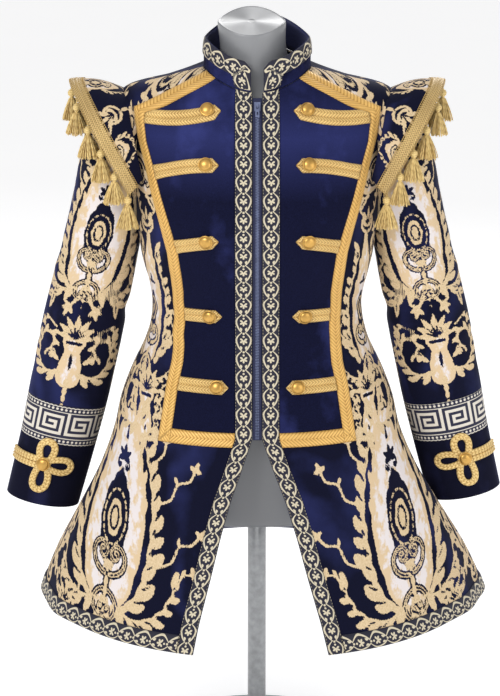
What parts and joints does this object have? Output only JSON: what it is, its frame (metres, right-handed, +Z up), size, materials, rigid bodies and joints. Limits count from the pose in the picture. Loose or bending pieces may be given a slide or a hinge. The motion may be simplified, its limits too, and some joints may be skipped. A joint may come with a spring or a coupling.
{
  "type": "carnival jacket on a limbless dress form",
  "caption": "Frogged stage jacket of velvet and brocade with flared skirt, tasselled shoulder wings, key-pattern bands and cuff knots, worn by a limbless dress form on a stand.",
  "frame": {"origin": "centre of the stand base's underside, on the floor", "axes": "+Z up, -Y out of the jacket's front, +X towards the viewer's right when facing the front"},
  "size_m": [0.759, 0.5458, 1.155],
  "materials": {
    "brocade": "velvet brocade: navy ground with beige and ivory leaf and medallion pattern",
    "velvet": "plain navy velvet, soft sheen",
    "key_band": "woven key-pattern band, ivory on navy",
    "woven_trim": "woven trim, cream curling lines on black-navy",
    "gold_braid": "gold herringbone braid, satin thread",
    "gold_gimp": "antique gold gimp with picot edges",
    "gold_thread": "pale gold rayon thread",
    "gold_metal": "polished gold-coloured metal dome",
    "zip_tape": "woven navy-blue tape with nylon coil teeth",
    "zip_metal": "blue enamelled metal",
    "form_grey": "smooth grey satin plastic",
    "stand_grey": "satin grey painted steel"
  },
  "bodies": {
    "jacket": {"front_left": "brocade", "back_left": "brocade", "sleeve_left": "brocade", "wing_left": "brocade", "plastron_left": "velvet", "cuff_left": "velvet", "key_band_left": "key_band", "front_trim_left": "woven_trim", "hem_trim_left": "woven_trim", "braid_left": "gold_braid", "wing_gimp_left": "gold_gimp", "tassels_left": "gold_thread", "cuff_knot_left": "gold_braid", "cuff_button_left": "gold_metal", "bar_1_left": "gold_braid", "button_1_left": "gold_metal", "bar_2_left": "gold_braid", "button_2_left": "gold_metal", "bar_3_left": "gold_braid", "button_3_left": "gold_metal", "bar_4_left": "gold_braid", "button_4_left": "gold_metal", "bar_5_left": "gold_braid", "button_5_left": "gold_metal", "front_right": "brocade", "back_right": "brocade", "sleeve_right": "brocade", "wing_right": "brocade", "plastron_right": "velvet", "cuff_right": "velvet", "key_band_right": "key_band", "front_trim_right": "woven_trim", "hem_trim_right": "woven_trim", "braid_right": "gold_braid", "wing_gimp_right": "gold_gimp", "tassels_right": "gold_thread", "cuff_knot_right": "gold_braid", "cuff_button_right": "gold_metal", "bar_1_right": "gold_braid", "button_1_right": "gold_metal", "bar_2_right": "gold_braid", "button_2_right": "gold_metal", "bar_3_right": "gold_braid", "button_3_right": "gold_metal", "bar_4_right": "gold_braid", "button_4_right": "gold_metal", "bar_5_right": "gold_braid", "button_5_right": "gold_metal", "collar": "velvet", "collar_trim": "woven_trim", "zip_tape": "zip_tape", "zip_slider": "zip_metal", "form_torso": "form_grey", "form_post": "stand_grey", "form_base": "stand_grey"},
    "zip_pull": {"zip_pull": "zip_metal"}
  },
  "joints": [
    {"name": "zip_pull_swing", "type": "hinge", "parent": "jacket", "child": "zip_pull", "pos_m": [0, -0.07994, 1.03053], "axis": [-1, 0, 0], "range_deg": [0, 150]}
  ]
}
